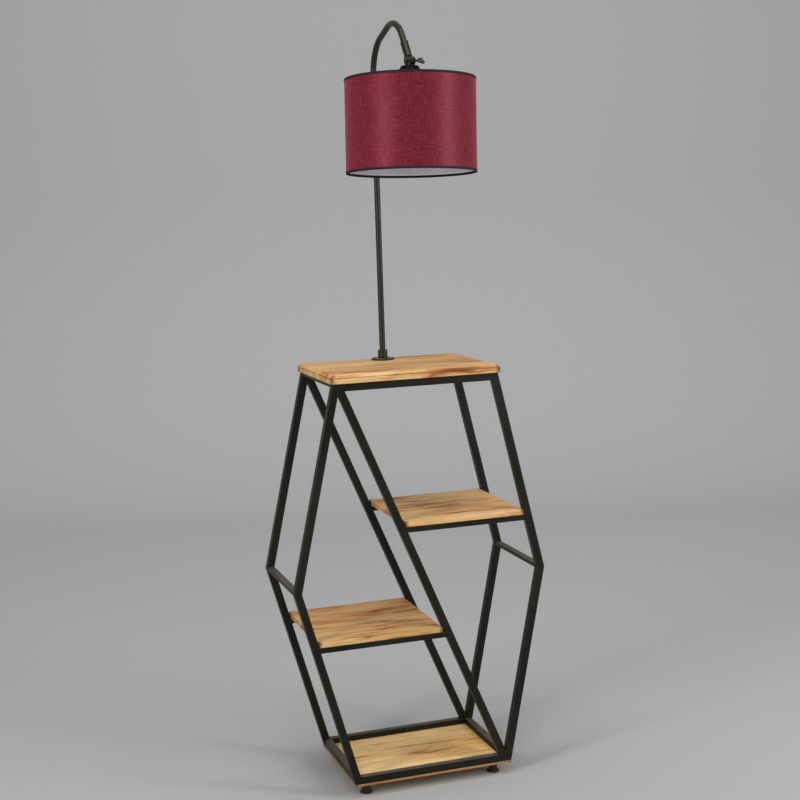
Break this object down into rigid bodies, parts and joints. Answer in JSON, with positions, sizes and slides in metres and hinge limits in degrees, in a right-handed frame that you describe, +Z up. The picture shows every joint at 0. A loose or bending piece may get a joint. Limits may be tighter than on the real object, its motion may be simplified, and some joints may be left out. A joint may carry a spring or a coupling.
{
  "type": "shelf floor lamp",
  "caption": "Hexagonal steel-tube shelf stand with scorched wood boards, carrying a bent-arm floor light with a tilting drum shade.",
  "frame": {"origin": "on the floor under the feet, at the middle of the whole lamp's plan, shade included", "axes": "+Z up; -Y is the front, towards which the arm carries the shade; +X is the right, where the diagonal tube comes down"},
  "size_m": [0.694, 0.5206, 2.0103],
  "materials": {
    "black_paint": "satin powder coat",
    "bronze_paint": "satin bronze-black",
    "scorched_pine": "scorched and clear-varnished pine",
    "zinc_steel": "zinc plated",
    "black_plastic": "moulded",
    "red_fabric": "woven, silky",
    "black_trim": "folded tape",
    "white_liner": "satin",
    "white_wire": "satin",
    "opal_bulb": "opal"
  },
  "bodies": {
    "root": {"back_bottom_rail": "black_paint", "back_diagonal": "black_paint", "back_lower_left_leg": "black_paint", "back_lower_right_leg": "black_paint", "back_lower_shelf_rail": "black_paint", "back_top_rail": "black_paint", "back_upper_left_leg": "black_paint", "back_upper_right_leg": "black_paint", "back_upper_shelf_rail": "black_paint", "base_board": "scorched_pine", "bottom_left_cross_tube": "black_paint", "bottom_right_cross_tube": "black_paint", "cord_grommet": "black_plastic", "foot_inserts": "zinc_steel", "front_bottom_rail": "black_paint", "front_diagonal": "black_paint", "front_lower_left_leg": "black_paint", "front_lower_right_leg": "black_paint", "front_lower_shelf_rail": "black_paint", "front_top_rail": "black_paint", "front_upper_left_leg": "black_paint", "front_upper_right_leg": "black_paint", "front_upper_shelf_rail": "black_paint", "long_screws": "zinc_steel", "lower_shelf_board": "scorched_pine", "lower_shelf_tabs": "black_paint", "pole_flange": "bronze_paint", "pole_grub_screw": "zinc_steel", "short_screws": "zinc_steel", "top_board": "scorched_pine", "top_left_cross_tube": "black_paint", "top_right_cross_tube": "black_paint", "upper_shelf_board": "scorched_pine", "upper_shelf_tabs": "black_paint", "waist_left_cross_tube": "black_paint", "waist_right_cross_tube": "black_paint"},
    "light": {"pole": "bronze_paint", "pole_joiner": "zinc_steel", "bent_arm": "bronze_paint", "arm_sleeve": "bronze_paint", "arm_knuckle": "bronze_paint"},
    "head": {"head_knuckle": "bronze_paint", "lampholder_cover": "black_plastic", "lampholder": "black_plastic", "shade_ring_nut": "black_plastic", "bulb": "opal_bulb", "shade_fabric": "red_fabric", "shade_liner": "white_liner", "shade_trims": "black_trim", "shade_spider": "white_wire", "shade_bottom_wire": "white_wire"},
    "wing": {"wing_screw": "bronze_paint"},
    "front_left_foot": {"front_left_foot_pad": "black_plastic", "front_left_foot_stud": "zinc_steel"},
    "front_right_foot": {"front_right_foot_pad": "black_plastic", "front_right_foot_stud": "zinc_steel"},
    "back_left_foot": {"back_left_foot_pad": "black_plastic", "back_left_foot_stud": "zinc_steel"},
    "back_right_foot": {"back_right_foot_pad": "black_plastic", "back_right_foot_stud": "zinc_steel"}
  },
  "joints": [
    {"name": "pole_swivel", "type": "hinge", "parent": "root", "child": "light", "pos_m": [0, 0.21733, 1.1255], "axis": [0, 0, 1], "range_deg": [-90, 90]},
    {"name": "head_tilt", "type": "hinge", "parent": "light", "child": "head", "pos_m": [0, -0.08177, 1.8973], "axis": [1, 0, 0], "range_deg": [-45, 30]},
    {"name": "wing_turn", "type": "hinge", "parent": "head", "child": "wing", "pos_m": [0, -0.08177, 1.8973], "axis": [1, 0, 0], "range_deg": [-180, 180]},
    {"name": "front_left_foot_height", "type": "slide", "parent": "root", "child": "front_left_foot", "axis": [0, 0, 1], "range_m": [-0.004, 0.002]},
    {"name": "front_right_foot_height", "type": "slide", "parent": "root", "child": "front_right_foot", "axis": [0, 0, 1], "range_m": [-0.004, 0.002]},
    {"name": "back_left_foot_height", "type": "slide", "parent": "root", "child": "back_left_foot", "axis": [0, 0, 1], "range_m": [-0.004, 0.002]},
    {"name": "back_right_foot_height", "type": "slide", "parent": "root", "child": "back_right_foot", "axis": [0, 0, 1], "range_m": [-0.004, 0.002]}
  ]
}
